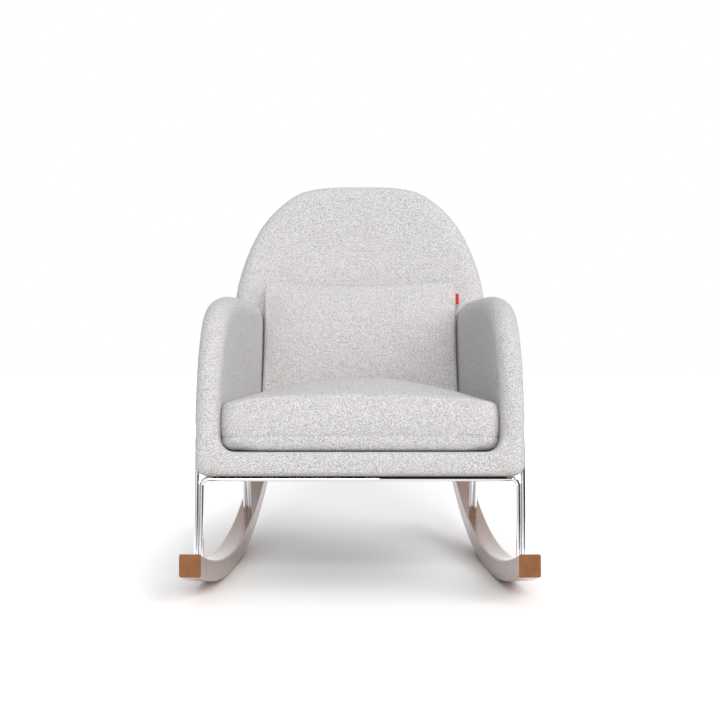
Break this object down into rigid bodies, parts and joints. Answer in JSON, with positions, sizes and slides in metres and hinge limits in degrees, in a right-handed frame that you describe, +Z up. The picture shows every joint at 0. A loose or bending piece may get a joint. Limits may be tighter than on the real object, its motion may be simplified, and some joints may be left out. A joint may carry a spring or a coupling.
{
  "type": "upholstered rocking chair",
  "caption": "Upholstered rocking chair: light boucle tub with arched back, loose seat cushion and lumbar pillow, on a chromed bar base and two bent walnut rockers.",
  "frame": {"origin": "middle of the bounding box, on the floor", "axes": "+X across the chair to the right of a viewer who faces its front, +Y from the front to the back, +Z up"},
  "size_m": [0.736, 0.97, 0.953],
  "materials": {
    "walnut": "satin",
    "chromed_bar": "polished",
    "zinc_steel": "satin",
    "frame_timber": "matte",
    "plywood": "matte",
    "webbing": "matte",
    "deck_cloth": "matte",
    "dust_cloth": "matte",
    "red_tape": "matte",
    "boucle": "matte"
  },
  "bodies": {
    "chair": {"right_rocker": "walnut", "left_rocker": "walnut", "foot_screws": "zinc_steel", "front_hoop": "chromed_bar", "rear_hoop": "chromed_bar", "right_side_hoop": "chromed_bar", "left_side_hoop": "chromed_bar", "bar_screws": "zinc_steel", "front_rail": "frame_timber", "right_side_rail": "frame_timber", "left_side_rail": "frame_timber", "rear_rail": "frame_timber", "corner_blocks": "frame_timber", "seat_webbing_long": "webbing", "seat_webbing_cross": "webbing", "deck_pad": "deck_cloth", "right_arm_panel": "plywood", "left_arm_panel": "plywood", "back_arch": "frame_timber", "lumbar_rail": "frame_timber", "back_webbing": "webbing", "frame_bolts": "zinc_steel", "arch_bolts": "zinc_steel", "side_screws": "zinc_steel", "front_pad": "boucle", "right_arm_pad": "boucle", "left_arm_pad": "boucle", "back_pad": "boucle", "outside_back": "boucle", "under_seat_cloth": "dust_cloth"},
    "cushion": {"seat_cushion": "boucle"},
    "pillow": {"lumbar_pillow": "boucle", "side_label": "red_tape"}
  },
  "joints": [
    {"name": "cushion_pulls_forward", "type": "slide", "parent": "chair", "child": "cushion", "axis": [0, -0.9962, 0.0872], "range_m": [0, 0.62]},
    {"name": "pillow_lifts", "type": "slide", "parent": "chair", "child": "pillow", "axis": [0, 0, 1], "range_m": [0, 0.6]}
  ]
}
